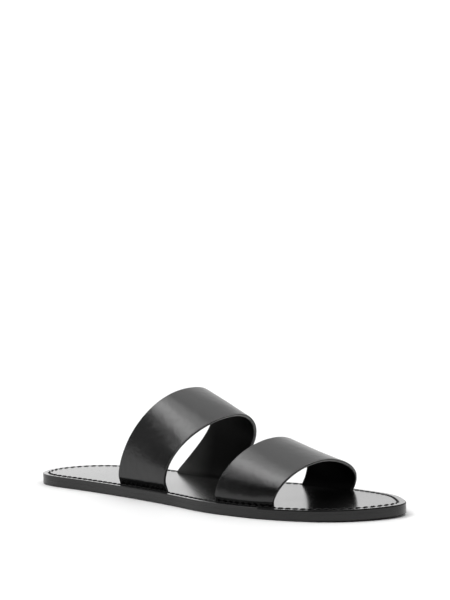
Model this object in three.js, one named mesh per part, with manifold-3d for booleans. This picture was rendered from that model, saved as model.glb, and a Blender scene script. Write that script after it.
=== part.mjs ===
// Right-foot slide sandal: a thin stitched leather sole and two wide leather bands.
// Millimetres, +Z up, toe towards +Y, outer (lateral) side towards +X.
// Everything is worked out from the named sizes and the tables below.
import * as THREE from 'three';
import { mergeVertices } from 'three/addons/utils/BufferGeometryUtils.js';
import Module from 'manifold-3d';

// ---------- driving sizes ----------
const SOLE_LENGTH = 262;        // heel tip to toe tip
const OUTSOLE_THICK = 3.8;
const INSOLE_THICK = 2.4;
const LAYER_GAP = 0.3;          // between insole and outsole
const EDGE_ROUND = 0.5;         // softened arris of the sole layers
const WAIST_RISE = 0.15;        // bottom leaves the floor a little under the waist
const WAIST_FROM = 62, WAIST_TO = 150;
const SPRING_FROM = 195;        // toe spring starts here
const TOE_SPRING = 1.0, SPRING_POWER = 1.8;
const BAND_THICK = 1.9;         // wall of both bands
const BAND_INSET = 4.4;         // outer face of a band, in from the sole's edge
const SLOT_CLEAR = 0.3;         // around a band end in its slot
const SOLE_STEPS = 58;          // sections along the sole
const BAND_STEPS = 44;          // segments from side to side over a band
const BAND_ROWS = 5;            // rows of points across a band's width

const TREAD_TOP = OUTSOLE_THICK;
const BED_UNDER = TREAD_TOP + LAYER_GAP;
const BED_TOP = BED_UNDER + INSOLE_THICK;

// ---------- tables ----------
// The sole's outline: distance from the heel tip, inner edge and outer edge.
const OUTLINE = [
  { at: 0.0, medial: 2.14, lateral: 2.14 },
  { at: 2.0, medial: -8.18, lateral: 13.13 },
  { at: 7.9, medial: -18.44, lateral: 20.71 },
  { at: 17.6, medial: -26.94, lateral: 24.62 },
  { at: 30.6, medial: -32.13, lateral: 26.35 },
  { at: 46.8, medial: -34.43, lateral: 27.92 },
  { at: 65.5, medial: -34.12, lateral: 30.59 },
  { at: 86.2, medial: -31.38, lateral: 34.18 },
  { at: 108.3, medial: -28.12, lateral: 38.60 },
  { at: 131.0, medial: -27.61, lateral: 44.01 },
  { at: 153.7, medial: -31.25, lateral: 50.12 },
  { at: 175.8, medial: -34.78, lateral: 52.31 },
  { at: 196.5, medial: -34.47, lateral: 51.95 },
  { at: 215.2, medial: -31.47, lateral: 48.52 },
  { at: 231.4, medial: -27.44, lateral: 42.68 },
  { at: 244.4, medial: -20.60, lateral: 34.17 },
  { at: 254.1, medial: -11.80, lateral: 23.05 },
  { at: 260.0, medial: -4.60, lateral: 12.05 },
  { at: 262.0, medial: 3.60, lateral: 3.60 },
];

// Each band's two cut edges as arches over the foot. Feet are distances from the
// heel tip, lean is how far the edge runs forward for each mm up, height and ridge
// place the top, swell, knee and crown shape the inner and outer side, and bow
// moves a side forward at mid height.
const BANDS = {
  strap_rear: {
    dip: -0.3,
    edges: [
      { edge: 'rear', footLateral: 73.8, footMedial: 75.9, lean: 0.603, height: 57.42, ridge: -2.71, swellLateral: 5.65, kneeLateral: 0.739, crownLateral: 0.928, bowLateral: -3.89, swellMedial: 11.91, kneeMedial: 0.829, crownMedial: 0.948, bowMedial: 7.59 },
      { edge: 'front', footLateral: 116.0, footMedial: 119.9, lean: 0.592, height: 43.52, ridge: -1.74, swellLateral: 5.02, kneeLateral: 0.603, crownLateral: 0.755, bowLateral: -3.68, swellMedial: 10.50, kneeMedial: 0.741, crownMedial: 0.865, bowMedial: 5.63 },
    ],
  },
  strap_front: {
    dip: 0.6,
    edges: [
      { edge: 'rear', footLateral: 161.9, footMedial: 169.7, lean: 0.463, height: 34.28, ridge: 10.41, swellLateral: 0.66, kneeLateral: 0.597, crownLateral: 0.681, bowLateral: -1.27, swellMedial: 4.06, kneeMedial: 0.430, crownMedial: 0.590, bowMedial: 1.64 },
      { edge: 'front', footLateral: 203.1, footMedial: 207.2, lean: 0.542, height: 24.22, ridge: 13.35, swellLateral: 2.51, kneeLateral: 0.585, crownLateral: 0.673, bowLateral: 0.18, swellMedial: 4.02, kneeMedial: 0.522, crownMedial: 0.468, bowMedial: 1.13 },
    ],
  },
};
const LEAN_START = 8;           // height over which an edge turns from upright to its lean

// ---------- small helpers ----------
// Natural cubic spline through (xs, ys).
function spline(xs, ys) {
  const n = xs.length, m = new Array(n).fill(0), u = new Array(n).fill(0);
  for (let i = 1; i < n - 1; i++) {
    const s = (xs[i] - xs[i - 1]) / (xs[i + 1] - xs[i - 1]), p = s * m[i - 1] + 2;
    m[i] = (s - 1) / p;
    const d = (ys[i + 1] - ys[i]) / (xs[i + 1] - xs[i]) - (ys[i] - ys[i - 1]) / (xs[i] - xs[i - 1]);
    u[i] = (6 * d / (xs[i + 1] - xs[i - 1]) - s * u[i - 1]) / p;
  }
  for (let i = n - 2; i >= 0; i--) m[i] = m[i] * m[i + 1] + u[i];
  return (x) => {
    let k = 0;
    while (k < n - 2 && x > xs[k + 1]) k++;
    const h = xs[k + 1] - xs[k], a = (xs[k + 1] - x) / h, b = 1 - a;
    return a * ys[k] + b * ys[k + 1] + ((a ** 3 - a) * m[k] + (b ** 3 - b) * m[k + 1]) * h * h / 6;
  };
}
// The outline is smooth in this angle, also round the heel and toe tips.
const angleOf = (at) => Math.acos(THREE.MathUtils.clamp(1 - 2 * at / SOLE_LENGTH, -1, 1));
const atOf = (angle) => SOLE_LENGTH / 2 * (1 - Math.cos(angle));
const knots = OUTLINE.map((row) => angleOf(row.at));
const medialAt = spline(knots, OUTLINE.map((row) => row.medial));
const lateralAt = spline(knots, OUTLINE.map((row) => row.lateral));

// Height of the sole's underside over the floor.
function rise(at) {
  const w = THREE.MathUtils.clamp((at - WAIST_FROM) / (WAIST_TO - WAIST_FROM), 0, 1);
  const t = Math.max(0, (at - SPRING_FROM) / (SOLE_LENGTH - SPRING_FROM));
  return WAIST_RISE * Math.sin(Math.PI * w) ** 2 + TOE_SPRING * t ** SPRING_POWER;
}

// Closed outline, counterclockwise from above, starting at the heel tip: the lateral
// side up to the toe tip, then back along the medial side.
function outline(steps) {
  const pts = [];
  for (let i = 0; i <= steps; i++) { const a = Math.PI * i / steps; pts.push(new THREE.Vector2(lateralAt(a), atOf(a))); }
  for (let i = steps - 1; i > 0; i--) { const a = Math.PI * i / steps; pts.push(new THREE.Vector2(medialAt(a), atOf(a))); }
  return pts;
}
// The same outline moved inwards.
function inset(pts, by) {
  return pts.map((p, i) => {
    const a = pts[(i + pts.length - 1) % pts.length], b = pts[(i + 1) % pts.length];
    const t = b.clone().sub(a).normalize();
    return new THREE.Vector2(p.x - t.y * by, p.y + t.x * by);
  });
}
// x of the inset outline at a distance from the heel, on one side.
const FINE = outline(240);
function insetX(by) {
  const pts = inset(FINE, by), n = pts.length, half = n / 2;
  const side = { lateral: pts.slice(1, half), medial: pts.slice(half + 1).reverse() };
  return (name, at) => {
    const s = side[name];
    let k = 0;
    while (k < s.length - 2 && s[k + 1].y < at) k++;
    const f = (at - s[k].y) / (s[k + 1].y - s[k].y);
    return s[k].x + f * (s[k + 1].x - s[k].x);
  };
}

function toGeometry(points, faces) {
  const g = new THREE.BufferGeometry();
  g.setAttribute('position', new THREE.Float32BufferAttribute(points.flatMap((p) => [p.x, p.y, p.z]), 3));
  g.setIndex(faces.flat());
  return g;
}

// ---------- sole layers ----------
// A sole layer: rings of the outline stacked from under to top with softened arrises,
// closed by strips from side to side, all bent to the rise of the sole.
function soleLayer(under, top, steps) {
  const base = outline(steps), n = base.length, half = n / 2;
  const rings = [
    { by: EDGE_ROUND, z: under },
    { by: EDGE_ROUND * 0.29, z: under + EDGE_ROUND * 0.29 },
    { by: 0, z: under + EDGE_ROUND },
    { by: 0, z: top - EDGE_ROUND },
    { by: EDGE_ROUND * 0.29, z: top - EDGE_ROUND * 0.29 },
    { by: EDGE_ROUND, z: top },
  ];
  const points = [], faces = [];
  for (const r of rings) for (const p of inset(base, r.by)) {
    const at = THREE.MathUtils.clamp(p.y, 0, SOLE_LENGTH);
    points.push(new THREE.Vector3(p.x, p.y, r.z + rise(at)));
  }
  for (let r = 0; r < rings.length - 1; r++) for (let i = 0; i < n; i++) {
    const j = (i + 1) % n, a = r * n + i, b = r * n + j, c = a + n, d = b + n;
    faces.push([a, b, d], [a, d, c]);
  }
  const cap = (offset, up) => {
    const lat = (i) => offset + i, med = (i) => offset + (n - i) % n;
    const put = (a, b, c) => faces.push(up ? [a, b, c] : [a, c, b]);
    put(lat(0), lat(1), med(1));
    for (let i = 1; i < half - 1; i++) { put(lat(i), lat(i + 1), med(i + 1)); put(lat(i), med(i + 1), med(i)); }
    put(lat(half - 1), lat(half), med(half - 1));
  };
  cap(0, false);
  cap((rings.length - 1) * n, true);
  return toGeometry(points, faces);
}

// ---------- bands ----------
const bandX = insetX(BAND_INSET);
function bezier(p0, p1, p2, p3, t) {
  const s = 1 - t;
  return new THREE.Vector2(
    s ** 3 * p0[0] + 3 * s * s * t * p1[0] + 3 * s * t * t * p2[0] + t ** 3 * p3[0],
    s ** 3 * p0[1] + 3 * s * s * t * p1[1] + 3 * s * t * t * p2[1] + t ** 3 * p3[1]);
}
// One cut edge of a band's outer face: u runs from 0 at the lateral foot over the
// ridge at 1 to 2 at the medial foot.
function edgePoint(row, u) {
  const xl = bandX('lateral', row.footLateral), xm = bandX('medial', row.footMedial);
  const h = row.height, xr = row.ridge;
  const p = u <= 1
    ? bezier([xl, 0], [xl + row.swellLateral, row.kneeLateral * h], [xr + row.crownLateral * (xl - xr), h], [xr, h], u)
    : bezier([xr, h], [xr - row.crownMedial * (xr - xm), h], [xm - row.swellMedial, row.kneeMedial * h], [xm, 0], u - 1);
  const across = (xl - p.x) / (xl - xm);
  const foot = row.footLateral + (row.footMedial - row.footLateral) * across;
  const bow = (u <= 1 ? row.bowLateral : row.bowMedial) * Math.sin(Math.PI * Math.min(1, p.y / h));
  const at = foot + row.lean * p.y * p.y / (p.y + LEAN_START) + bow;
  return new THREE.Vector3(p.x, at, p.y + BED_TOP + rise(foot));
}
// The outer face as a grid, from edge to edge and side to side, with its ends run
// straight down into the slots.
function bandGrid(band, steps, rows) {
  const grid = [];
  for (let j = 0; j < rows; j++) {
    const s = j / (rows - 1), line = [];
    for (let i = 0; i <= steps; i++) {
      const u = 2 * i / steps, a = edgePoint(band.edges[0], u), b = edgePoint(band.edges[1], u);
      const p = a.lerp(b, s);
      p.z -= band.dip * 4 * s * (1 - s) * Math.sin(Math.PI * u / 2);
      line.push(p);
    }
    // The feet follow the curve of the sole's edge, and that fades out upwards.
    for (const end of [line.length - 1, 0]) {
      const foot = line[end], side = end ? 'medial' : 'lateral';
      const shift = bandX(side, foot.y) - foot.x;
      line.slice().forEach((p, i) => { p.x += shift * Math.max(0, 1 - 2 * Math.abs(i - end) / steps) ** 4; });
      const low = foot.clone();
      low.z = BED_UNDER + rise(foot.y);
      if (end) line.push(low); else line.unshift(low);
    }
    grid.push(line);
  }
  return grid;
}
// A wall of one thickness on the inner side of the grid, closed along its edges.
function bandSolid(band, thick, steps, rows) {
  const outer = bandGrid(band, steps, rows), m = outer[0].length;
  const inner = outer.map((line, j) => line.map((p, i) => {
    const i0 = Math.max(0, i - 1), i1 = Math.min(m - 1, i + 1), j0 = Math.max(0, j - 1), j1 = Math.min(rows - 1, j + 1);
    const along = outer[j][i1].clone().sub(outer[j][i0]), across = outer[j1][i].clone().sub(outer[j0][i]);
    const into = along.cross(across).normalize();
    if (i === 0 || i === m - 1) { into.z = 0; into.normalize(); }
    return p.clone().addScaledVector(into, thick);
  }));
  const points = [], faces = [];
  const id = (layer, j, i) => (layer * rows + j) * m + i;
  for (const face of [outer, inner]) for (const line of face) for (const p of line) points.push(p);
  for (let j = 0; j < rows - 1; j++) for (let i = 0; i < m - 1; i++) {
    const [a, b, c, d] = [id(0, j, i), id(0, j, i + 1), id(0, j + 1, i), id(0, j + 1, i + 1)];
    faces.push([a, c, d], [a, d, b]);
    const [e, f, g, h] = [id(1, j, i), id(1, j, i + 1), id(1, j + 1, i), id(1, j + 1, i + 1)];
    faces.push([e, h, g], [e, f, h]);
  }
  const rim = [];
  for (let i = 0; i < m - 1; i++) rim.push([0, i]);
  for (let j = 0; j < rows - 1; j++) rim.push([j, m - 1]);
  for (let i = m - 1; i > 0; i--) rim.push([rows - 1, i]);
  for (let j = rows - 1; j > 0; j--) rim.push([j, 0]);
  rim.forEach(([j, i], k) => {
    const [j2, i2] = rim[(k + 1) % rim.length];
    const [a, b, c, d] = [id(0, j, i), id(0, j2, i2), id(1, j, i), id(1, j2, i2)];
    faces.push([a, b, d], [a, d, c]);
  });
  return toGeometry(points, faces);
}

// ---------- slots in the insole ----------
// The room round one end of a band: its foot line, moved out and in by the clearance.
function slot(band, side) {
  const grid = bandGrid(band, BAND_STEPS, BAND_ROWS);
  const feet = grid.map((line) => (side === 'lateral' ? line[0] : line[line.length - 1]));
  const flip = side === 'lateral' ? -1 : 1, last = feet.length - 1;
  const near = [], far = [];
  feet.forEach((p, j) => {
    const t = feet[Math.min(last, j + 1)].clone().sub(feet[Math.max(0, j - 1)]).setZ(0).normalize();
    const into = new THREE.Vector3(flip * t.y, -flip * t.x, 0);
    const q = p.clone().addScaledVector(t, j === 0 ? -SLOT_CLEAR : j === last ? SLOT_CLEAR : 0);
    near.push(q.clone().addScaledVector(into, -SLOT_CLEAR));
    far.unshift(q.clone().addScaledVector(into, BAND_THICK + SLOT_CLEAR));
  });
  const shape = new THREE.Shape([...near, ...far].map((p) => new THREE.Vector2(p.x, p.y)));
  const g = new THREE.ExtrudeGeometry(shape, { depth: 12, bevelEnabled: false });
  g.translate(0, 0, BED_UNDER - 4);
  return g;
}

// ---------- solids ----------
const wasm = await Module();
wasm.setup();
function solid(geometry) {
  let g = geometry.clone();
  g.deleteAttribute('normal');
  g.deleteAttribute('uv');
  g = mergeVertices(g, 1e-4);
  const m = new wasm.Manifold(new wasm.Mesh({
    numProp: 3,
    vertProperties: Float32Array.from(g.attributes.position.array),
    triVerts: Uint32Array.from(g.index.array),
  }));
  return m;
}
function geometryOf(manifold) {
  const mesh = manifold.getMesh(), g = new THREE.BufferGeometry(), k = mesh.numProp;
  const pos = new Float32Array(mesh.numVert * 3);
  for (let i = 0; i < mesh.numVert; i++) for (let c = 0; c < 3; c++) pos[3 * i + c] = mesh.vertProperties[k * i + c];
  g.setAttribute('position', new THREE.BufferAttribute(pos, 3));
  g.setIndex(Array.from(mesh.triVerts));
  return g;
}

let bed = solid(soleLayer(BED_UNDER, BED_TOP, SOLE_STEPS));
for (const band of Object.values(BANDS)) for (const side of ['lateral', 'medial']) bed = bed.subtract(solid(slot(band, side)));

// ---------- assembly ----------
const finish = {
  sole_leather: { color: 0x0c0b0b, roughness: 0.45, metalness: 0 },
  insole_leather: { color: 0x0b0b0c, roughness: 0.12, metalness: 0 },
  strap_leather: { color: 0x0a0a0b, roughness: 0.3, metalness: 0 },
};
const group = new THREE.Group();
function add(name, geometry, slotName) {
  geometry.computeVertexNormals();
  const material = new THREE.MeshStandardMaterial({ ...finish[slotName], flatShading: true });
  material.name = slotName;
  const mesh = new THREE.Mesh(geometry, material);
  mesh.name = name;
  group.add(mesh);
}
add('outsole', soleLayer(0, TREAD_TOP, SOLE_STEPS), 'sole_leather');
add('insole', geometryOf(bed), 'insole_leather');
for (const [name, band] of Object.entries(BANDS)) add(name, bandSolid(band, BAND_THICK, BAND_STEPS, BAND_ROWS), 'strap_leather');

// Origin: middle of the sole's box, on the floor.
const box = new THREE.Box2().setFromPoints(FINE);
group.position.set(-(box.min.x + box.max.x) / 2, -(box.min.y + box.max.y) / 2, 0);
group.updateMatrixWorld(true);

export default group;
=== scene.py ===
# Right-foot slide sandal in black leather: fine shapes, stitching, finishes, light and camera.
# Lengths in the tables are millimetres in the shoe's own frame: x outer side +, y from the heel tip, z up.
import math
import bmesh
import bpy
import numpy as np
from mathutils import Matrix


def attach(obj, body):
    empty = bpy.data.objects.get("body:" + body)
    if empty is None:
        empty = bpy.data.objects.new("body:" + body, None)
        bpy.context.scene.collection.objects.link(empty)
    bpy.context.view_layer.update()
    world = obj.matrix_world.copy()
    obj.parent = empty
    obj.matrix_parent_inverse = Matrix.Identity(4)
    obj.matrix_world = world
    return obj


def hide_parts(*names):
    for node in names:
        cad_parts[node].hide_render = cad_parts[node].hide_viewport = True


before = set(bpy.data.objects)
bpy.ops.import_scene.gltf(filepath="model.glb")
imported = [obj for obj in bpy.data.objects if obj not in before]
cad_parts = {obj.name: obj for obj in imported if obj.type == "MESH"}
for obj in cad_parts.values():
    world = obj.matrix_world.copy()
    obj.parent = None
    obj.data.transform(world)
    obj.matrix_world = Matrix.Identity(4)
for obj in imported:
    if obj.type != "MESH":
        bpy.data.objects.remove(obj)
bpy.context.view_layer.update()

# ---------- driving sizes ----------
SOLE_LENGTH = 262.0
OUTSOLE_THICK, INSOLE_THICK, LAYER_GAP = 3.8, 2.4, 0.3
BED_UNDER = OUTSOLE_THICK + LAYER_GAP
BED_TOP = BED_UNDER + INSOLE_THICK
WAIST_RISE, WAIST_FROM, WAIST_TO = 0.15, 62.0, 150.0
SPRING_FROM, TOE_SPRING, SPRING_POWER = 195.0, 1.0, 1.8
BAND_THICK, BAND_INSET, LEAN_START = 1.9, 4.4, 8.0
SEAM_AT = 4.02                  # height of the line between outsole and insole on the dyed edge
SLOT_ROOM = 0.22                # between a band's end and the slot it goes into
STITCH_INSET = 3.82             # stitch line, in from the sole's edge
STITCH_INSET_TOE = 4.75
STITCH_PITCH = 4.5
STITCH_SHOWN = 3.75             # length of thread between its two holes
STITCH_SLANT = math.radians(15)
THREAD = 0.80                   # thread diameter

OUTLINE = [  # at, medial, lateral
    (0.0, 2.14, 2.14), (2.0, -8.18, 13.13), (7.9, -18.44, 20.71), (17.6, -26.94, 24.62),
    (30.6, -32.13, 26.35), (46.8, -34.43, 27.92), (65.5, -34.12, 30.59), (86.2, -31.38, 34.18),
    (108.3, -28.12, 38.60), (131.0, -27.61, 44.01), (153.7, -31.25, 50.12), (175.8, -34.78, 52.31),
    (196.5, -34.47, 51.95), (215.2, -31.47, 48.52), (231.4, -27.44, 42.68), (244.4, -20.60, 34.17),
    (254.1, -11.80, 23.05), (260.0, -4.60, 12.05), (262.0, 3.60, 3.60),
]
EDGE_COLUMNS = ("footLateral", "footMedial", "lean", "height", "ridge", "swellLateral", "kneeLateral",
                "crownLateral", "bowLateral", "swellMedial", "kneeMedial", "crownMedial", "bowMedial")
BANDS = {
    "strap_rear": {"dip": -0.3, "edges": [
        (73.8, 75.9, 0.603, 57.42, -2.71, 5.65, 0.739, 0.928, -3.89, 11.91, 0.829, 0.948, 7.59),
        (116.0, 119.9, 0.592, 43.52, -1.74, 5.02, 0.603, 0.755, -3.68, 10.50, 0.741, 0.865, 5.63)]},
    "strap_front": {"dip": 0.1, "edges": [
        (161.9, 169.7, 0.463, 34.28, 10.41, 0.66, 0.597, 0.681, -1.27, 4.06, 0.430, 0.590, 1.64),
        (203.1, 207.2, 0.542, 24.22, 13.35, 2.51, 0.585, 0.673, 0.18, 4.02, 0.522, 0.468, 1.13)]},
}
# How a band's face swells out above its slots: height over the insole, and how far out.
ROOT = {
    "strap_rear": {
        "lateral": [(0, -1.12), (2, -0.92), (4.5, -0.35), (7, -0.06), (10, 0.0), (14, 0.05), (20, 0.02), (28, 0)],
        "medial": [(0, 0), (2, 0.3), (4.5, 0.55), (8, 0.60), (14, 0.50), (20, 0.60), (28, 0.70), (36, 0.35), (43, 0)]},
    "strap_front": {
        "lateral": [(0, -0.90), (2, -0.32), (3.6, 0.10), (5.5, 0.30), (7, 0.38), (11, 0.50), (15, 0.42), (22, 0.10), (28, 0)],
        "medial": [(0, 0), (2, 0.3), (4, 0.5), (7, 0.60), (11, 0.60), (15, 0.45), (22, 0.10), (28, 0)]},
}
# Creases and soft waves, placed on each band's flat cut: from and to as (share of the way
# over the foot 0..2, mm from the rear edge), depth in mm (minus stands proud), and half width in mm.
CREASES = {
    "strap_rear": [
        ((0.66, 9.0), (0.56, 15.5), 0.035, 0.9),
        ((0.69, 5.0), (0.62, 8.0), 0.030, 0.7),
        ((0.50, 12.0), (0.42, 24.0), 0.10, 5.0),
        ((0.58, 20.0), (0.50, 34.0), -0.09, 5.5),
        ((0.86, 1.5), (0.80, 20.0), 0.08, 6.0),
        ((1.05, 6.0), (1.00, 30.0), -0.08, 7.0),
        ((0.13, 6.0), (0.11, 34.0), 0.07, 3.0),
        ((1.30, 8.0), (1.34, 30.0), 0.12, 6.0),
        ((1.62, 6.0), (1.68, 32.0), -0.12, 7.0),
        ((1.86, 8.0), (1.84, 34.0), 0.10, 3.5),
    ],
    "strap_front": [
        ((0.44, 5.0), (0.40, 18.0), 0.05, 3.0),
        ((0.50, 14.0), (0.45, 32.0), -0.06, 4.5),
        ((0.26, 4.0), (0.24, 34.0), 0.06, 3.5),
        ((0.72, 6.0), (0.66, 30.0), 0.07, 6.0),
        ((1.02, 4.0), (0.98, 26.0), -0.06, 6.0),
        ((1.30, 8.0), (1.32, 32.0), 0.08, 5.0),
        ((1.60, 6.0), (1.62, 32.0), -0.08, 5.0),
    ],
}


# ---------- the shoe's functions ----------
def spline(xs, ys):
    """Natural cubic spline through (xs, ys)."""
    xs, ys = np.array(xs, float), np.array(ys, float)
    n = len(xs)
    m, u = np.zeros(n), np.zeros(n)
    for i in range(1, n - 1):
        s = (xs[i] - xs[i - 1]) / (xs[i + 1] - xs[i - 1])
        p = s * m[i - 1] + 2
        m[i] = (s - 1) / p
        d = (ys[i + 1] - ys[i]) / (xs[i + 1] - xs[i]) - (ys[i] - ys[i - 1]) / (xs[i] - xs[i - 1])
        u[i] = (6 * d / (xs[i + 1] - xs[i - 1]) - s * u[i - 1]) / p
    for i in range(n - 2, -1, -1):
        m[i] = m[i] * m[i + 1] + u[i]

    def at(x):
        x = np.asarray(x, float)
        k = np.clip(np.searchsorted(xs, x, side="left") - 1, 0, n - 2)
        h = xs[k + 1] - xs[k]
        a = (xs[k + 1] - x) / h
        b = 1 - a
        return a * ys[k] + b * ys[k + 1] + ((a**3 - a) * m[k] + (b**3 - b) * m[k + 1]) * h * h / 6
    return at


def smoothstep(a, b, x):
    t = np.clip((np.asarray(x, float) - a) / (b - a), 0, 1)
    return t * t * (3 - 2 * t)


knots = [math.acos(max(-1.0, min(1.0, 1 - 2 * row[0] / SOLE_LENGTH))) for row in OUTLINE]
medial_at = spline(knots, [row[1] for row in OUTLINE])
lateral_at = spline(knots, [row[2] for row in OUTLINE])


def rise(at):
    """Height of the sole's underside over the floor."""
    at = np.clip(np.asarray(at, float), 0, SOLE_LENGTH)
    w = np.clip((at - WAIST_FROM) / (WAIST_TO - WAIST_FROM), 0, 1)
    t = np.maximum(0, (at - SPRING_FROM) / (SOLE_LENGTH - SPRING_FROM))
    return WAIST_RISE * np.sin(np.pi * w) ** 2 + TOE_SPRING * t**SPRING_POWER


def outline(steps):
    """Closed outline, counterclockwise from above, from the heel tip up the lateral side."""
    a = np.pi * np.arange(steps + 1) / steps
    b = a[1:-1][::-1]
    lateral = np.stack([lateral_at(a), SOLE_LENGTH / 2 * (1 - np.cos(a))], 1)
    medial = np.stack([medial_at(b), SOLE_LENGTH / 2 * (1 - np.cos(b))], 1)
    return np.concatenate([lateral, medial])


def inward(pts):
    t = np.roll(pts, -1, 0) - np.roll(pts, 1, 0)
    t /= np.linalg.norm(t, axis=1)[:, None]
    return np.stack([-t[:, 1], t[:, 0]], 1)


def inset(pts, by):
    by = np.asarray(by, float)
    return pts + inward(pts) * (by[:, None] if by.ndim else by)


FINE = outline(240)
SHIFT = np.array([-(FINE[:, 0].min() + FINE[:, 0].max()) / 2, -(FINE[:, 1].min() + FINE[:, 1].max()) / 2, 0.0])


def inset_x(by):
    pts = inset(FINE, by)
    half = len(pts) // 2
    side = {"lateral": pts[1:half], "medial": pts[half + 1:][::-1]}
    return lambda name, at: np.interp(at, side[name][:, 1], side[name][:, 0])


band_x = inset_x(BAND_INSET)


def bezier(p0, p1, p2, p3, t):
    s = 1 - t
    return ((s**3)[:, None] * np.array(p0) + (3 * s * s * t)[:, None] * np.array(p1)
            + (3 * s * t * t)[:, None] * np.array(p2) + (t**3)[:, None] * np.array(p3))


def edge_points(row, u):
    """One cut edge of a band: u from 0 at the lateral foot over the ridge at 1 to 2 at the medial foot."""
    e = dict(zip(EDGE_COLUMNS, row))
    xl, xm = float(band_x("lateral", e["footLateral"])), float(band_x("medial", e["footMedial"]))
    h, xr = e["height"], e["ridge"]
    near = bezier([xl, 0], [xl + e["swellLateral"], e["kneeLateral"] * h],
                  [xr + e["crownLateral"] * (xl - xr), h], [xr, h], np.clip(u, 0, 1))
    far = bezier([xr, h], [xr - e["crownMedial"] * (xr - xm), h],
                 [xm - e["swellMedial"], e["kneeMedial"] * h], [xm, 0], np.clip(u - 1, 0, 1))
    first = u <= 1
    p = np.where(first[:, None], near, far)
    across = (xl - p[:, 0]) / (xl - xm)
    foot = e["footLateral"] + (e["footMedial"] - e["footLateral"]) * across
    bow = np.where(first, e["bowLateral"], e["bowMedial"]) * np.sin(np.pi * np.minimum(1, p[:, 1] / h))
    at = foot + e["lean"] * p[:, 1] ** 2 / (p[:, 1] + LEAN_START) + bow
    return np.stack([p[:, 0], at, p[:, 1] + BED_TOP + rise(foot)], 1)


def band_sheet(name, u, s):
    """Outer face of a band as [s, u, xyz], from the rear edge at s 0 to the front edge at s 1."""
    band = BANDS[name]
    a, b = edge_points(band["edges"][0], u), edge_points(band["edges"][1], u)
    p = a[None] + (b - a)[None] * s[:, None, None]
    p[:, :, 2] -= band["dip"] * 4 * (s * (1 - s))[:, None] * np.sin(np.pi * u / 2)[None]
    for end, side in ((len(u) - 1, "medial"), (0, "lateral")):
        foot = p[:, end].copy()
        shift = band_x(side, foot[:, 1]) - foot[:, 0]
        p[:, :, 0] += shift[:, None] * np.maximum(0, 1 - np.abs(u - u[end]))[None] ** 4
    return p


# ---------- meshes ----------
def make_object(name, points, faces, mats, face_mats=None, sharp=40.0, uv=None):
    """A mesh object from millimetre points in the table frame, shown in metres in the row frame."""
    pts = (np.asarray(points, float) + SHIFT) * 0.001
    me = bpy.data.meshes.new(name)
    me.from_pydata(pts.tolist(), [], faces)
    for m in mats:
        me.materials.append(m)
    if face_mats is not None:
        me.polygons.foreach_set("material_index", np.asarray(face_mats, np.int32))
    if uv is not None:
        layer = me.uv_layers.new(name="flat")
        loops = np.empty(len(me.loops), np.int32)
        me.loops.foreach_get("vertex_index", loops)
        layer.data.foreach_set("uv", np.asarray(uv, np.float32)[loops].ravel())
    obj = bpy.data.objects.new(name, me)
    bpy.context.scene.collection.objects.link(obj)
    finish_mesh(me, sharp)
    return obj


def finish_mesh(me, sharp):
    bm = bmesh.new()
    bm.from_mesh(me)
    bmesh.ops.recalc_face_normals(bm, faces=bm.faces)
    for e in bm.edges:
        e.smooth = len(e.link_faces) == 2 and e.calc_face_angle(0.0) < math.radians(sharp)
    for f in bm.faces:
        f.smooth = True
    bm.to_mesh(me)
    bm.free()
    me.update()


def applied(obj):
    """The object's mesh with its modifiers applied."""
    dg = bpy.context.evaluated_depsgraph_get()
    me = bpy.data.meshes.new_from_object(obj.evaluated_get(dg), depsgraph=dg)
    old = obj.data
    obj.modifiers.clear()
    obj.data = me
    bpy.data.meshes.remove(old)
    me.name = obj.name


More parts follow.
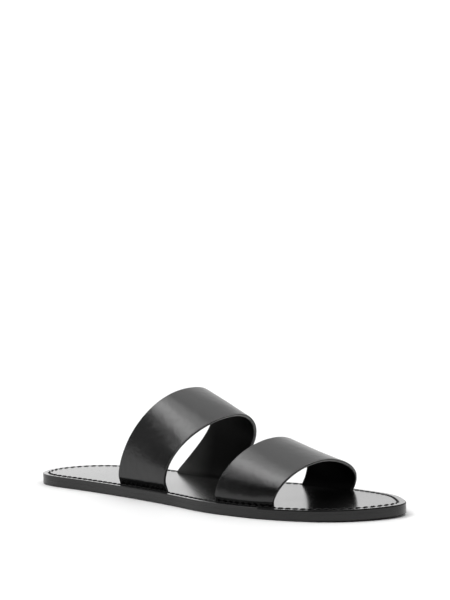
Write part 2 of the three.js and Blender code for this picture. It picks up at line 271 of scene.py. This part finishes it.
# ---------- materials ----------
class Nodes:
    """Small helper to wire a procedural material."""

    def __init__(self, name):
        self.mat = bpy.data.materials.new(name)
        self.mat.use_nodes = True
        self.tree = self.mat.node_tree
        self.tree.nodes.clear()
        self.out = self.add("ShaderNodeOutputMaterial")
        self.bsdf = self.add("ShaderNodeBsdfPrincipled")
        self.link(self.bsdf.outputs["BSDF"], self.out.inputs["Surface"])
        self.coord = self.add("ShaderNodeTexCoord")

    def add(self, kind, **values):
        node = self.tree.nodes.new(kind)
        for k, v in values.items():
            if hasattr(node, k):
                setattr(node, k, v)
            else:
                node.inputs[k.replace("_", " ").title()].default_value = v
        return node

    def link(self, a, b):
        self.tree.links.new(a, b)

    def noise(self, scale, detail=4.0, rough=0.55, stretch=None, source="Object"):
        """Noise in the shoe's own millimetres: scale is features per millimetre."""
        m = self.add("ShaderNodeMapping")
        s = np.array(stretch or (1, 1, 1), float) * scale * (1000.0 if source == "Object" else 1.0)
        m.inputs["Scale"].default_value = s.tolist()
        self.link(self.coord.outputs[source], m.inputs["Vector"])
        n = self.add("ShaderNodeTexNoise")
        n.inputs["Scale"].default_value = 1.0
        n.inputs["Detail"].default_value = detail
        n.inputs["Roughness"].default_value = rough
        self.link(m.outputs["Vector"], n.inputs["Vector"])
        return n.outputs["Fac"]

    def cells(self, scale, feature="F1", smooth=None, source="Object"):
        m = self.add("ShaderNodeMapping")
        m.inputs["Scale"].default_value = [scale * (1000.0 if source == "Object" else 1.0)] * 3
        self.link(self.coord.outputs[source], m.inputs["Vector"])
        v = self.add("ShaderNodeTexVoronoi")
        v.feature = feature
        v.inputs["Scale"].default_value = 1.0
        self.link(m.outputs["Vector"], v.inputs["Vector"])
        return v.outputs["Distance"]

    def ramp(self, value, a, b, low, high):
        """Maps a..b to low..high, held at the ends."""
        r = self.add("ShaderNodeMapRange")
        r.inputs["From Min"].default_value, r.inputs["From Max"].default_value = a, b
        r.inputs["To Min"].default_value, r.inputs["To Max"].default_value = low, high
        self.link(value, r.inputs["Value"])
        return r.outputs["Result"]

    def math(self, op, a, b):
        m = self.add("ShaderNodeMath")
        m.operation = op
        for k, v in enumerate((a, b)):
            if isinstance(v, (int, float)):
                m.inputs[k].default_value = v
            else:
                self.link(v, m.inputs[k])
        return m.outputs[0]

    def mix(self, factor, dark, light):
        m = self.add("ShaderNodeMix")
        m.data_type = "RGBA"
        self.link(factor, m.inputs["Factor"])
        m.inputs[6].default_value = (*dark, 1)
        m.inputs[7].default_value = (*light, 1)
        return m.outputs[2]

    def bumps(self, *layers):
        """Bump layers as (height, depth in mm), the first one lowest."""
        last = None
        for height, depth in layers:
            b = self.add("ShaderNodeBump")
            b.inputs["Strength"].default_value = 1.0
            b.inputs["Distance"].default_value = depth * 0.001
            self.link(height, b.inputs["Height"])
            if last is not None:
                self.link(last, b.inputs["Normal"])
            last = b.outputs["Normal"]
        self.link(last, self.bsdf.inputs["Normal"])
        return last

    def set(self, **values):
        for k, v in values.items():
            self.bsdf.inputs[k.replace("_", " ")].default_value = v


def strap_leather():
    n = Nodes("strap_leather_outer")
    cloud = n.noise(0.035, 3.0)
    pore = n.cells(1.6)
    grain = n.noise(1.1, 5.0, 0.6)
    n.link(n.mix(n.ramp(cloud, 0.35, 0.65, 0, 1), (0.0014, 0.0014, 0.0015), (0.0024, 0.0024, 0.0025)),
           n.bsdf.inputs["Base Color"])
    rough = n.math("ADD", n.ramp(cloud, 0.3, 0.7, 0.185, 0.215), n.ramp(grain, 0.3, 0.7, -0.015, 0.02))
    n.link(rough, n.bsdf.inputs["Roughness"])
    n.bumps((n.noise(0.11, 2.0), 0.20), (n.noise(0.32, 2.0), 0.06), (grain, 0.034), (pore, 0.014))
    n.set(IOR=1.5, Coat_Weight=0.0)
    return n.mat


def lining_leather():
    n = Nodes("strap_lining")
    fibre = n.noise(0.9, 6.0, 0.65)
    cloud = n.noise(0.05, 3.0)
    place = n.add("ShaderNodeSeparateXYZ")          # lighter towards the rear band's rear edge
    n.link(n.coord.outputs["Object"], place.inputs[0])
    lighter_to_rear = n.math("POWER", n.ramp(place.outputs["Y"], -0.057, -0.026, 1, 0), 1.3)
    lighter_to_rear = n.math("MULTIPLY", lighter_to_rear, n.ramp(n.noise(0.12, 3.0), 0.35, 0.65, 0.8, 1))
    plain = n.ramp(cloud, 0.35, 0.65, 0, 0.012)
    n.link(n.mix(n.math("ADD", plain, lighter_to_rear), (0.0010, 0.0010, 0.0010), (0.068, 0.068, 0.066)),
           n.bsdf.inputs["Base Color"])
    n.link(n.ramp(fibre, 0.3, 0.7, 0.44, 0.54), n.bsdf.inputs["Roughness"])
    n.bumps((n.noise(0.12, 2.0), 0.08), (fibre, 0.03))
    n.set(IOR=1.45, Specular_IOR_Level=0.08)
    return n.mat


def edge_paint(name, shine):
    n = Nodes(name)
    streak = n.noise(0.5, 4.0)
    n.link(n.mix(streak, (0.0018, 0.0018, 0.0018), (0.0036, 0.0036, 0.0036)), n.bsdf.inputs["Base Color"])
    n.link(n.ramp(streak, 0.3, 0.7, 0.34, 0.46), n.bsdf.inputs["Roughness"])
    n.bumps((streak, 0.03),)
    n.set(IOR=1.5, Specular_IOR_Level=shine)
    return n.mat


def insole_leather():
    n = Nodes("insole_gloss")
    cloud = n.noise(0.02, 3.0)
    grain = n.noise(0.7, 5.0, 0.6)
    n.link(n.mix(n.ramp(cloud, 0.35, 0.65, 0, 1), (0.0016, 0.0016, 0.0017), (0.0026, 0.0026, 0.0027)),
           n.bsdf.inputs["Base Color"])
    n.link(n.ramp(cloud, 0.3, 0.7, 0.20, 0.24), n.bsdf.inputs["Roughness"])
    n.bumps((n.noise(0.05, 2.0), 0.04), (grain, 0.004))
    n.set(IOR=1.5, Coat_Weight=0.6, Coat_Roughness=0.17, Coat_IOR=1.5)
    return n.mat


def lining_edge():
    n = Nodes("strap_lining_edge")
    streak = n.noise(0.6, 4.0)
    place = n.add("ShaderNodeSeparateXYZ")
    n.link(n.coord.outputs["Object"], place.inputs[0])
    # painted reflection: the lining's cut edge is painted lighter higher up the band, standing in for the bright floor
    # its crest mirrors, and stays dark near the slots
    painted_crest_reflection = n.math("MULTIPLY", n.ramp(place.outputs["Z"], 0.016, 0.032, 0, 1), n.ramp(streak, 0.2, 0.7, 0.75, 1))
    n.link(n.mix(painted_crest_reflection, (0.003, 0.003, 0.003), (0.20, 0.20, 0.198)), n.bsdf.inputs["Base Color"])
    n.link(n.ramp(streak, 0.3, 0.7, 0.34, 0.44), n.bsdf.inputs["Roughness"])
    n.bumps((streak, 0.02),)
    n.set(IOR=1.5)
    return n.mat


def sole_edge():
    n = Nodes("sole_dyed_edge")
    band = n.noise(0.6, 5.0, 0.6, stretch=(0.12, 2.2, 1), source="UV")
    speck = n.noise(1.3, 4.0)
    n.link(n.mix(band, (0.0016, 0.0016, 0.0016), (0.0036, 0.0035, 0.0034)), n.bsdf.inputs["Base Color"])
    n.link(n.ramp(band, 0.3, 0.7, 0.27, 0.30), n.bsdf.inputs["Roughness"])
    n.bumps((band, 0.003), (speck, 0.008))
    n.set(IOR=1.5)
    return n.mat


def sole_under():
    n = Nodes("outsole_tread")
    cloud = n.noise(0.03, 4.0)
    fibre = n.noise(1.0, 6.0, 0.65)
    n.link(n.mix(n.ramp(cloud, 0.3, 0.7, 0, 1), (0.010, 0.0098, 0.0095), (0.017, 0.0165, 0.016)),
           n.bsdf.inputs["Base Color"])
    n.link(n.ramp(fibre, 0.3, 0.7, 0.5, 0.68), n.bsdf.inputs["Roughness"])
    n.bumps((cloud, 0.08), (fibre, 0.05))
    n.set(IOR=1.48, Specular_IOR_Level=0.2)
    return n.mat


def thread():
    n = Nodes("waxed_thread")
    ply = n.noise(2.2, 3.0)
    n.link(n.mix(ply, (0.0022, 0.0022, 0.0022), (0.0050, 0.0050, 0.0050)), n.bsdf.inputs["Base Color"])
    n.link(n.ramp(ply, 0.3, 0.7, 0.5, 0.65), n.bsdf.inputs["Roughness"])
    n.bumps((ply, 0.03),)
    n.set(IOR=1.45, Specular_IOR_Level=0.2)
    return n.mat


STRAP, LINING, CUT, CUT_LINING = strap_leather(), lining_leather(), edge_paint("strap_cut_edge", 0.5), lining_edge()
GLOSS, EDGE, UNDER, THREAD_MAT = insole_leather(), sole_edge(), sole_under(), thread()
# duller edge paint for the toe's upper arris: painted shade
ARRIS = edge_paint("insole_toe_arris_painted_shade", 0.10)

# ---------- stitch line ----------
AROUND = 1200


def even_outline(n):
    """The outline at even steps along its length, from the heel tip up the lateral side."""
    pts = outline(1500)
    ring = np.vstack([pts, pts[:1]])
    run = np.concatenate([[0], np.cumsum(np.linalg.norm(np.diff(ring, axis=0), axis=1))])
    d = np.arange(n) / n * run[-1]
    return np.stack([np.interp(d, run, ring[:, 0]), np.interp(d, run, ring[:, 1])], 1)


RING = even_outline(AROUND)
stitch_inset = STITCH_INSET + (STITCH_INSET_TOE - STITCH_INSET) * smoothstep(236, 259, RING[:, 1])
LINE = inset(RING, stitch_inset)
line_ring = np.vstack([LINE, LINE[:1]])
LINE_RUN = np.concatenate([[0], np.cumsum(np.linalg.norm(np.diff(line_ring, axis=0), axis=1))])
STITCHES = round(LINE_RUN[-1] / STITCH_PITCH)
PITCH = LINE_RUN[-1] / STITCHES


def on_line(d):
    d = np.mod(d, LINE_RUN[-1])
    return np.stack([np.interp(d, LINE_RUN, line_ring[:, 0]), np.interp(d, LINE_RUN, line_ring[:, 1])], -1)


def groove(run, off):
    """Depth of the stitch channel at a distance along the line and off it, with the needle holes."""
    depth = 0.09 * np.exp(-(off / 0.55) ** 2)
    share = np.mod(run / PITCH, 1.0) * PITCH - PITCH / 2      # from the middle of the stitch
    for end in (-1, 1):
        a = end * STITCH_SHOWN / 2 * math.cos(STITCH_SLANT)
        b = end * STITCH_SHOWN / 2 * math.sin(STITCH_SLANT)
        depth = depth + 0.30 * np.exp(-((share - a) ** 2 + (off - b) ** 2) / 0.36**2)
    return depth


def thread_mesh(z_of, side, proud):
    """All stitches as three-ply thread lying along the line and diving into its holes."""
    turns, rounds = 15, 12
    points, faces = [], []
    tau = np.linspace(-1, 1, turns)
    for k in range(STITCHES):
        mid = (k + 0.5) * PITCH
        c, a, b = on_line(mid), on_line(mid - 0.5), on_line(mid + 0.5)
        t = (b - a) / np.linalg.norm(b - a)
        left = np.array([-t[1], t[0]])
        d = math.cos(STITCH_SLANT) * t + math.sin(STITCH_SLANT) * left
        n = np.array([-d[1], d[0]])
        reach = STITCH_SHOWN / 2
        xy = c + d * (tau * reach)[:, None]
        high = proud if k < STITCHES / 2 else proud - 0.13        # pulled down more on the medial side
        lift = high * (1 - np.abs(tau) ** 3.2) - 0.75 * np.abs(tau) ** 6
        base = z_of(xy[:, 1])
        z = base + side * lift
        path = np.c_[xy, z]
        slope = np.gradient(lift * side) / np.gradient(tau * reach)
        first = len(points)
        for i in range(turns):
            up = np.array([-d[0] * slope[i], -d[1] * slope[i], 1.0])
            up /= np.linalg.norm(up)
            for j in range(rounds):
                w = 2 * math.pi * j / rounds
                r = THREAD / 2 * (1 + 0.10 * math.cos(3 * (w - 2.6 * tau[i])))
                p = path[i] + r * (1.12 * math.cos(w) * np.array([n[0], n[1], 0]) + 0.88 * math.sin(w) * up)
                points.append(p)
        for i in range(turns - 1):
            for j in range(rounds):
                q = (j + 1) % rounds
                faces.append([first + i * rounds + j, first + i * rounds + q,
                              first + (i + 1) * rounds + q, first + (i + 1) * rounds + j])
        faces.append([first + j for j in range(rounds)][::-1])
        faces.append([first + (turns - 1) * rounds + j for j in range(rounds)])
    return points, faces


# ---------- sole ----------
def sole_piece(name, rings, top_mat, wall_rows, cap_rows, mats):
    """A sole layer from rings (inset, height) from the middle of its under face to the middle of its
    top face. Insets may differ round the outline. The two ends are closed with strips across."""
    n = AROUND
    half = n // 2
    run = np.arange(n) / n * 600.0
    points, uv, faces, kinds = [], [], [], []
    for by, z, _ in rings:
        p = inset(RING, by)
        zz = z + rise(p[:, 1])
        points.append(np.c_[p, zz])
        uv.append(np.c_[run, np.broadcast_to(z, (n,)) + np.broadcast_to(by, (n,))])
    pts = np.concatenate(points)
    uvs = np.concatenate(uv)
    for r in range(len(rings) - 1):
        kind = rings[r + 1][2]
        for i in range(n):
            j = (i + 1) % n
            faces.append([r * n + i, r * n + j, (r + 1) * n + j, (r + 1) * n + i])
            kinds.append(kind)
    extra = []
    for ring, flip, kind in ((0, True, rings[0][2]), (len(rings) - 1, False, rings[-1][2])):
        cols = cap_rows
        grid = {}
        count = len(pts) + len(extra)
        rows = []
        step = 4
        idx = list(range(0, half, step)) + [half]
        base = ring * n
        for i in range(1, half):
            lat, med = base + i, base + (n - i) % n
            row = [lat]
            for c in range(1, cols):
                f = c / cols
                extra.append(pts[lat] * (1 - f) + pts[med] * f)
                row.append(len(pts) + len(extra) - 1)
            row.append(med)
            rows.append(row)
        for a, b in zip(rows[:-1], rows[1:]):
            for c in range(cols):
                q = [a[c], b[c], b[c + 1], a[c + 1]]
                faces.append(q[::-1] if flip else q)
                kinds.append(kind)
        for row, tip in ((rows[0], base), (rows[-1], base + half)):
            for c in range(cols):
                q = [row[c], row[c + 1], tip]
                if (tip == base) != flip:
                    q = q[::-1]
                faces.append(q)
                kinds.append(kind)
    if extra:
        pts = np.vstack([pts, np.array(extra)])
        uvs = np.vstack([uvs, np.array(extra)[:, :2]])
    return make_object(name, pts, faces, mats, kinds, 50.0, uvs)


def arris(by_from, z_from, by_to, z_to, steps, corner):
    """Rounded corner from one ring to another about an outer corner (inset, height)."""
    rows = []
    for k in range(1, steps + 1):
        w = math.pi / 2 * k / steps
        c, s = math.cos(w), math.sin(w)
        by = by_to + (by_from - by_to) * (c if corner == "top" else 1 - s)
        z = z_from + (z_to - z_from) * (s if corner == "top" else 1 - c)
        rows.append((by, z))
    return rows


run_ring = LINE_RUN[:-1]


def channel_rings(z, side, kind, inner):
    """Rings from the rounded edge inwards over the stitch channel, on the top (side 1) or the under face."""
    rings = []
    for off in (-1.7, -1.2, -0.95, -0.75, -0.6, -0.45, -0.3, -0.15, 0, 0.15, 0.3, 0.45, 0.6, 0.75, 0.95, 1.2, 1.8, inner):
        depth = groove(run_ring, np.full(AROUND, off)) if abs(off) < 1.5 else 0.0
        rings.append((stitch_inset + off, z - side * depth, kind))
    return rings


def make_insole():
    low = SEAM_AT + 0.02
    rings = [(8.0, low, 1), (2.0, low, 1), (0.05, low, 1)]
    rings += [(b, z, 1) for b, z in ((0.015, low + 0.015), (0.0, low + 0.05), (0.0, low + 0.08), (0.0, low + 0.9), (0.0, BED_TOP - 0.72), (0.0, BED_TOP - 0.42))]
    for k in range(1, 7):
        w = math.pi / 2 * k / 6
        rings.append((0.34 * (1 - math.cos(w)), BED_TOP - 0.34 + 0.34 * math.sin(w), 0 if k > 5 else 1))
    rings += [(0.8, BED_TOP, 0), (1.4, BED_TOP, 0)]
    rings += channel_rings(BED_TOP, 1, 0, 3.2)
    obj = sole_piece("insole_leather", rings, 0, None, 22, [GLOSS, EDGE, ARRIS])
    for f in obj.data.polygons:             # a dark line of duller edge paint round the toe's upper arris: painted shade in place of the dark room that arris mirrors
        at = f.center.y * 1000 - SHIFT[1]
        high = f.center.z * 1000 - BED_TOP - float(rise(at))
        if at > 196 and -0.73 < high < -0.002 and f.normal.z < 0.99:
            f.material_index = 2
    return obj


def make_outsole():
    rings = [(r[0], r[1], 1) for r in channel_rings(0.0, -1, 1, 3.2)][::-1]
    rings += [(1.4, 0.0, 1), (0.8, 0.0, 1)]
    for k in range(0, 7):
        w = math.pi / 2 * k / 6
        rings.append((0.5 * (1 - math.sin(w)), 0.5 * (1 - math.cos(w)), 0 if k > 4 else 1))
    rings += [(0.0, 0.56, 0), (0.0, 1.4, 0), (0.0, 2.6, 0), (0.0, SEAM_AT - 0.08, 0), (0.0, SEAM_AT - 0.05, 0), (0.015, SEAM_AT - 0.015, 0),
              (0.05, SEAM_AT, 0), (2.0, SEAM_AT, 0)]
    return sole_piece("outsole_leather", rings, 0, None, 22, [EDGE, UNDER])


# ---------- bands ----------
def crease_field(name, along, share, across):
    """Depth pressed into a band by its creases, over arrays of the flat cut's coordinates."""
    depth = np.zeros_like(along)
    length = along[:, -1].mean()
    for (u0, w0), (u1, w1), deep, half in CREASES[name]:
        a0, a1 = length * u0 / 2, length * u1 / 2
        d = np.array([a1 - a0, w1 - w0])
        l2 = float(d @ d)
        t = ((along - a0) * d[0] + (across - w0) * d[1]) / l2
        tc = np.clip(t, 0, 1)
        dist2 = (along - a0 - tc * d[0]) ** 2 + (across - w0 - tc * d[1]) ** 2
        fade = 0.35 + 0.65 * np.sin(np.pi * tc)
        depth += deep * fade * np.exp(-dist2 / half**2)
    return depth


def make_band(name):
    u = np.unique(np.concatenate([np.linspace(0, 0.12, 17), np.linspace(0.12, 1.88, 189), np.linspace(1.88, 2, 17)]))
    width = 42.0
    wide = np.concatenate([[0, 0.25, 0.5, 0.75, 1.0, 1.5, 2.2, 3.2], np.linspace(4.6, width - 4.6, 18)])
    wide = np.unique(np.concatenate([wide, width - wide]))
    s = wide / width
    sheet = band_sheet(name, u, s)
    # one row is added below each foot, down inside the slot
    low_l, low_m = sheet[:, :1].copy(), sheet[:, -1:].copy()
    low_l[:, :, 2] = BED_UNDER + 0.04 + rise(low_l[:, :, 1])
    low_m[:, :, 2] = BED_UNDER + 0.04 + rise(low_m[:, :, 1])
    mid_l, mid_m = (low_l + sheet[:, :1]) / 2, (low_m + sheet[:, -1:]) / 2
    outer = np.concatenate([low_l, mid_l, sheet, mid_m, low_m], 1)
    share = np.concatenate([[0, 0], u, [2, 2]])
    rows, cols = outer.shape[:2]

    def inside(grid):
        along = np.empty_like(grid)
        along[:, 1:-1] = grid[:, 2:] - grid[:, :-2]
        along[:, 0], along[:, -1] = grid[:, 1] - grid[:, 0], grid[:, -1] - grid[:, -2]
        across = np.empty_like(grid)
        across[1:-1] = grid[2:] - grid[:-2]
        across[0], across[-1] = grid[1] - grid[0], grid[-1] - grid[-2]
        n = np.cross(along, across)
        n /= np.linalg.norm(n, axis=-1, keepdims=True)
        for k in (0, 1, 2, cols - 3, cols - 2, cols - 1):
            n[:, k, 2] = 0
            n[:, k] /= np.linalg.norm(n[:, k], axis=-1, keepdims=True)
        return n

    into = inside(outer)
    # the leather swells out above its slots
    h = np.maximum(0, outer[:, :, 2] - (BED_TOP + rise(outer[:, :, 1])))
    swell = np.zeros_like(h)
    for side, here in (("lateral", share <= 1), ("medial", share > 1)):
        heights, offsets = zip(*ROOT[name][side])
        part = spline(heights, offsets)(np.minimum(h, heights[-1]))
        swell += np.where((h < heights[-1]) & here[None], part, 0)
    outer = outer - into * swell[:, :, None]
    into = inside(outer)
    steps = np.linalg.norm(np.diff(outer, axis=1), axis=-1)
    along = np.concatenate([np.zeros((rows, 1)), np.cumsum(steps, axis=1)], 1)
    steps = np.linalg.norm(np.diff(outer, axis=0), axis=-1)
    across = np.concatenate([np.zeros((1, cols)), np.cumsum(steps, axis=0)], 0)
    press = crease_field(name, along, share, across)
    press *= smoothstep(0, 6, np.minimum(along, along[:, -1:] - along))
    outer = outer + into * press[:, :, None]

    # closed section: outer face, rounded front cut edge, inner face, rounded rear cut edge
    r_out, r_in = 0.42, 0.72
    real = across[-1]                       # real width at each section

    def place(w_mm, depth):
        """Points of one line at a distance from the rear edge and a depth in from the outer face."""
        w = np.broadcast_to(w_mm, (cols,)) if np.ndim(w_mm) == 0 else w_mm
        p, n = np.empty((cols, 3)), np.empty((cols, 3))
        for c in range(cols):
            for axis in range(3):
                p[c, axis] = np.interp(w[c], across[:, c], outer[:, c, axis])
                n[c, axis] = np.interp(w[c], across[:, c], into[:, c, axis])
        n /= np.linalg.norm(n, axis=1)[:, None]
        return p + n * depth

    T = BAND_THICK
    lines, kinds = [], []
    # outer face from the rear rounding to the front rounding
    face_ws = [r_out, 0.8, 1.3, 2.0, 3.0, 4.2]
    for w in face_ws:
        lines.append((np.full(cols, w), 0.0)); kinds.append(0)
    for f in np.linspace(0, 1, 17)[1:-1]:
        lines.append((4.2 + (real - 8.4) * f, 0.0)); kinds.append(0)
    for w in face_ws[::-1]:
        lines.append((real - w, 0.0)); kinds.append(0)
    # front outer rounding: leather, then a thin strip of the lining edge's lighter paint as a painted highlight line
    # along the arris, then the cut edge
    for a in np.linspace(0, math.pi / 2, 7)[1:]:
        lines.append((real - r_out * (1 - math.sin(a)), r_out * (1 - math.cos(a)))); kinds.append(0 if a < 0.7 else 3 if a < 0.9 else 1)
    for w, d, kind in ((0.0, 0.80, 1), (0.05, 0.90, 1), (0.09, 0.95, 1), (0.05, 1.00, 3), (0.0, 1.08, 3)):
        lines.append((real - w, d)); kinds.append(kind)
    for a in np.linspace(0, math.pi / 2, 8):
        lines.append((real - r_in * (1 - math.cos(a)), T - r_in * (1 - math.sin(a)))); kinds.append(3)
    for w in face_ws[1:]:
        lines.append((real - w, T)); kinds.append(2)
    for f in np.linspace(1, 0, 17)[1:-1]:
        lines.append((4.2 + (real - 8.4) * f, T)); kinds.append(2)
    for w in face_ws[::-1][:-1]:
        lines.append((np.full(cols, w), T)); kinds.append(2)
    for a in np.linspace(math.pi / 2, 0, 8):
        lines.append((np.full(cols, r_in * (1 - math.cos(a))), T - r_in * (1 - math.sin(a)))); kinds.append(3)
    for w, d, kind in ((0.0, 1.08, 3), (0.05, 1.00, 3), (0.09, 0.95, 1), (0.05, 0.90, 1), (0.0, 0.80, 1)):
        lines.append((np.full(cols, w), d)); kinds.append(kind)
    # rear outer rounding, with the same thin strip of painted highlight
    for a in np.linspace(math.pi / 2, 0, 7)[:-1]:
        lines.append((np.full(cols, r_out * (1 - math.sin(a))), r_out * (1 - math.cos(a)))); kinds.append(0 if a < 0.7 else 3 if a < 0.9 else 1)
    grid = np.array([place(w, d) for w, d in lines])
    count = len(lines)
    points = grid.reshape(-1, 3)
    mean = np.array([along.mean(0)[c] for c in range(cols)])
    uv = np.array([[mean[c], np.broadcast_to(w, (cols,))[c]] for w, _ in lines for c in range(cols)])
    faces, mats = [], []
    for r in range(count):
        q = (r + 1) % count
        pair = (kinds[r], kinds[q])
        kind = 3 if 3 in pair else max(pair)
        for c in range(cols - 1):
            faces.append([r * cols + c, r * cols + c + 1, q * cols + c + 1, q * cols + c])
            mats.append(kind)
    faces.append([r * cols for r in range(count)])
    faces.append([r * cols + cols - 1 for r in range(count)][::-1])
    mats += [1, 1]
    return make_object(name + "_leather", points, faces, [STRAP, CUT, LINING, CUT_LINING], mats, 60.0, uv), outer, into


def slot_cutter(name, outer, into, end):
    """The room a band's end needs in the insole, as a prism round its foot line."""
    col = 2 if end == "lateral" else -3
    line, n = outer[:, col, :2], into[:, col, :2]
    n = n / np.linalg.norm(n, axis=1)[:, None]
    t = np.gradient(line, axis=0)
    t /= np.linalg.norm(t, axis=1)[:, None]
    line = line.copy()
    line[0] -= t[0] * SLOT_ROOM
    line[-1] += t[-1] * SLOT_ROOM
    near = line - n * SLOT_ROOM
    far = line + n * (BAND_THICK + SLOT_ROOM)
    loop = np.concatenate([near, far[::-1]])
    m = len(loop)
    points = [(*p, 2.0) for p in loop] + [(*p, 12.0) for p in loop]
    faces = [[i, (i + 1) % m, m + (i + 1) % m, m + i] for i in range(m)]
    faces += [list(range(m))[::-1], [m + i for i in range(m)]]
    return make_object("cut_" + name + "_" + end, points, faces, [EDGE], [0] * len(faces))


insole = make_insole()
outsole = make_outsole()
bands = {name: make_band(name) for name in BANDS}
cutters = []
insole.data.transform(Matrix.Scale(1000, 4))        # the slots are cut at millimetre size
for name, (obj, outer, into) in bands.items():
    for end in ("lateral", "medial"):
        cutter = slot_cutter(name, outer, into, end)
        cutter.data.transform(Matrix.Scale(1000, 4))
        mod = insole.modifiers.new("slot", "BOOLEAN")
        mod.operation = "DIFFERENCE"
        mod.solver = "MANIFOLD"
        mod.object = cutter
        cutters.append(cutter)
applied(insole)
insole.data.transform(Matrix.Scale(0.001, 4))
for cutter in cutters:
    me = cutter.data
    bpy.data.objects.remove(cutter)
    bpy.data.meshes.remove(me)
finish_mesh(insole.data, 50.0)

bed = lambda y: BED_TOP + rise(y)
points, faces = thread_mesh(bed, 1, 0.20)
top_stitches = make_object("perimeter_stitches", points, faces, [THREAD_MAT], [0] * len(faces), 60.0)
points, faces = thread_mesh(lambda y: rise(y), -1, -0.46)
under_stitches = make_object("under_stitches", points, faces, [THREAD_MAT], [0] * len(faces), 60.0)

pieces = [("insole_leather", insole, "insole", "insole_leather"), ("outsole_leather", outsole, "outsole", "sole_leather")]
pieces += [(name, obj, name, "strap_leather") for name, (obj, _, _) in bands.items()]
for _, obj, node, slot in pieces:
    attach(obj, "root")
    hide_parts(node)
for obj in (top_stitches, under_stitches):
    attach(obj, "root")

# ---------- floor, surroundings and light ----------
def floor_material():
    n = Nodes("studio_floor")
    n.bsdf.inputs["Base Color"].default_value = (0.86, 0.86, 0.86, 1)
    n.link(n.ramp(n.noise(0.004, 2.0), 0.3, 0.7, 0.58, 0.64), n.bsdf.inputs["Roughness"])
    n.set(IOR=1.3)
    return n.mat


me = bpy.data.meshes.new("floor")
me.from_pydata([(-40, -40, 0), (40, -40, 0), (40, 40, 0), (-40, 40, 0)], [], [(0, 1, 2, 3)])
me.materials.append(floor_material())
floor = bpy.data.objects.new("floor", me)
bpy.context.scene.collection.objects.link(floor)

world = bpy.data.worlds.new("studio")
bpy.context.scene.world = world
world.use_nodes = True
wt = world.node_tree
wt.nodes.clear()


def wadd(kind):
    return wt.nodes.new(kind)


def wmath(op, a, b=None, clamp=False):
    m = wadd("ShaderNodeMath")
    m.operation = op
    m.use_clamp = clamp
    for k, v in enumerate((a, b)):
        if v is None:
            continue
        if isinstance(v, (int, float)):
            m.inputs[k].default_value = v
        else:
            wt.links.new(v, m.inputs[k])
    return m.outputs[0]


def aim(azimuth, elevation):
    a, e = math.radians(azimuth), math.radians(elevation)
    return (math.sin(a) * math.cos(e), -math.cos(a) * math.cos(e), math.sin(e))


wcoord = wadd("ShaderNodeTexCoord")


def lobe(azimuth, elevation, inner, outer, amount):
    """A soft round patch of sky: full inside one angle, gone outside the other, in degrees."""
    dot = wadd("ShaderNodeVectorMath")
    dot.operation = "DOT_PRODUCT"
    wt.links.new(wcoord.outputs["Generated"], dot.inputs[0])
    dot.inputs[1].default_value = aim(azimuth, elevation)
    r = wadd("ShaderNodeMapRange")
    r.interpolation_type = "SMOOTHSTEP"
    r.inputs["From Min"].default_value = math.cos(math.radians(outer))
    r.inputs["From Max"].default_value = math.cos(math.radians(inner))
    r.inputs["To Min"].default_value, r.inputs["To Max"].default_value = 0.0, amount
    wt.links.new(dot.outputs["Value"], r.inputs["Value"])
    return r.outputs["Result"]


SKY = 1.0
BOXES = [  # azimuth, elevation, inner, outer, amount: the brightest one counts
    (59, 46, 8, 11, 4.3),          # soft box over the heel's outer side
    (39, 60, 3, 17, 4.6),          # its upper corner
    (41, 33, 3, 7, 2.1),           # its lower corner
    (31, 68, 1, 25, 2.0),          # its glow towards the ceiling
]
LOBES = [  # azimuth, elevation, inner, outer, amount: all are added
    (0, 90, 2, 53, 0.75),          # the ceiling's glow
    (-36, 8, 8, 20, 0.34),         # the sweep's foot, which the heel mirrors
    (12, 16, 20, 33, -0.87),       # dark cards round the soft box
    (79, 5, 35, 37, -0.78),
    (63, 36, 14, 21, -0.98),
    (130, 22, 38, 60, -0.82),      # the room on the camera's side is dark
]
total = 0.0
for row in BOXES:
    total = wmath("MAXIMUM", lobe(*row), total)
total = wmath("ADD", SKY, total)
for row in LOBES:
    total = wmath("ADD", lobe(*row), total)
total = wmath("MAXIMUM", total, 0.04)
path = wadd("ShaderNodeLightPath")
seen = wadd("ShaderNodeMix")
seen.data_type = "FLOAT"
wt.links.new(path.outputs["Is Camera Ray"], seen.inputs[0])
wt.links.new(total, seen.inputs[2])
seen.inputs[3].default_value = 1.1
back = wadd("ShaderNodeBackground")
back.inputs["Color"].default_value = (1, 1, 1, 1)
wt.links.new(seen.outputs[0], back.inputs["Strength"])
wout = wadd("ShaderNodeOutputWorld")
wt.links.new(back.outputs["Background"], wout.inputs["Surface"])


# ---------- camera ----------
EYE = (1252.158, 1091.815, 262.553)
RIGHT = (-0.6055115991, 0.7956610106, -0.0167110656)
UP = (-0.0825809610, -0.0419330506, 0.9957017645)
AHEAD = (-0.7915403262, -0.6042889835, -0.0910974009)
FOCAL_PIXELS, FRAME_HEIGHT, SENSOR = 2662.7855, 600, 36.0

cam_data = bpy.data.cameras.new("camera")
cam_data.sensor_width = SENSOR
cam_data.sensor_fit = "AUTO"
cam_data.lens = FOCAL_PIXELS / FRAME_HEIGHT * SENSOR
cam_data.clip_start, cam_data.clip_end = 0.05, 200
camera = bpy.data.objects.new("camera", cam_data)
bpy.context.scene.collection.objects.link(camera)
eye = (np.array(EYE) + SHIFT) * 0.001
camera.matrix_world = Matrix([[RIGHT[i], UP[i], -AHEAD[i], eye[i]] for i in range(3)] + [[0, 0, 0, 1]])
bpy.context.scene.camera = camera
bpy.context.scene.view_settings.view_transform = "Standard"
